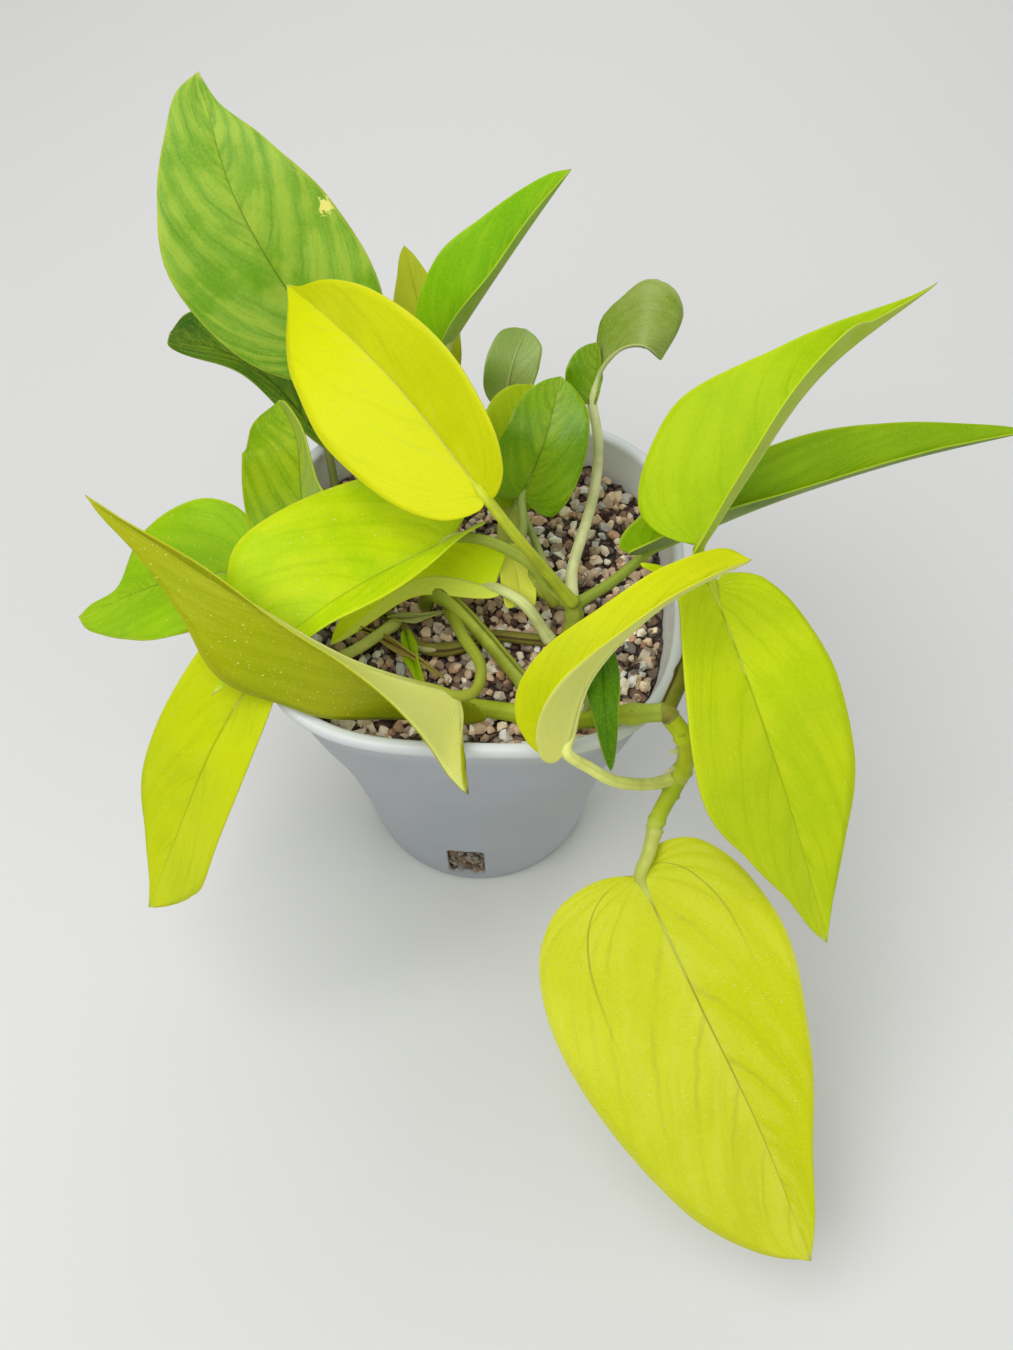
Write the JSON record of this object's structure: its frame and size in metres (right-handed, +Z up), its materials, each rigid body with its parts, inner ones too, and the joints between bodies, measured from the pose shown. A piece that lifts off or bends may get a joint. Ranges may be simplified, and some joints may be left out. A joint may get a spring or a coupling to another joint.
{
  "type": "potted plant",
  "caption": "House plant with lime heart-shaped leaves on trailing stems, rooted in grit in a flared square-rimmed pot.",
  "frame": {"origin": "centre of the pot's foot, on the surface that the pot stands on", "axes": "+Z up; -Y towards the side of the pot that faces the picture's camera, +X to its right"},
  "size_m": [0.305, 0.2848, 0.2353],
  "materials": {
    "pot": "satin",
    "grit": "matt",
    "vine_crown": "satin",
    "vine_front": "satin",
    "leaf_tall_back": "satin",
    "leaf_yellow_centre": "satin",
    "leaf_upright_back": "satin",
    "leaf_olive_back": "satin",
    "leaf_dark_left": "satin",
    "leaf_small_left": "satin",
    "leaf_far_left": "satin",
    "leaf_lime_left": "satin",
    "leaf_trough_left": "satin",
    "leaf_low_left": "satin",
    "leaf_hanging_left": "satin",
    "leaf_trough_right": "satin",
    "leaf_large_right": "satin",
    "leaf_large_front": "satin",
    "leaf_dark_hanging": "satin",
    "leaf_heart_centre": "satin",
    "leaf_behind_heart": "satin",
    "leaf_upper_right": "satin",
    "leaf_far_right": "satin",
    "leaf_small_back": "satin",
    "leaf_curled_back": "satin",
    "leaf_new_rolled": "satin"
  },
  "bodies": {
    "root": {"pot": "pot", "grit": "grit", "vine_crown": "vine_crown", "vine_front": "vine_front", "leaf_tall_back": "leaf_tall_back", "leaf_yellow_centre": "leaf_yellow_centre", "leaf_upright_back": "leaf_upright_back", "leaf_olive_back": "leaf_olive_back", "leaf_dark_left": "leaf_dark_left", "leaf_small_left": "leaf_small_left", "leaf_far_left": "leaf_far_left", "leaf_lime_left": "leaf_lime_left", "leaf_trough_left": "leaf_trough_left", "leaf_low_left": "leaf_low_left", "leaf_hanging_left": "leaf_hanging_left", "leaf_trough_right": "leaf_trough_right", "leaf_large_right": "leaf_large_right", "leaf_large_front": "leaf_large_front", "leaf_dark_hanging": "leaf_dark_hanging", "leaf_heart_centre": "leaf_heart_centre", "leaf_behind_heart": "leaf_behind_heart", "leaf_upper_right": "leaf_upper_right", "leaf_far_right": "leaf_far_right", "leaf_small_back": "leaf_small_back", "leaf_curled_back": "leaf_curled_back", "leaf_new_rolled": "leaf_new_rolled"}
  },
  "joints": []
}
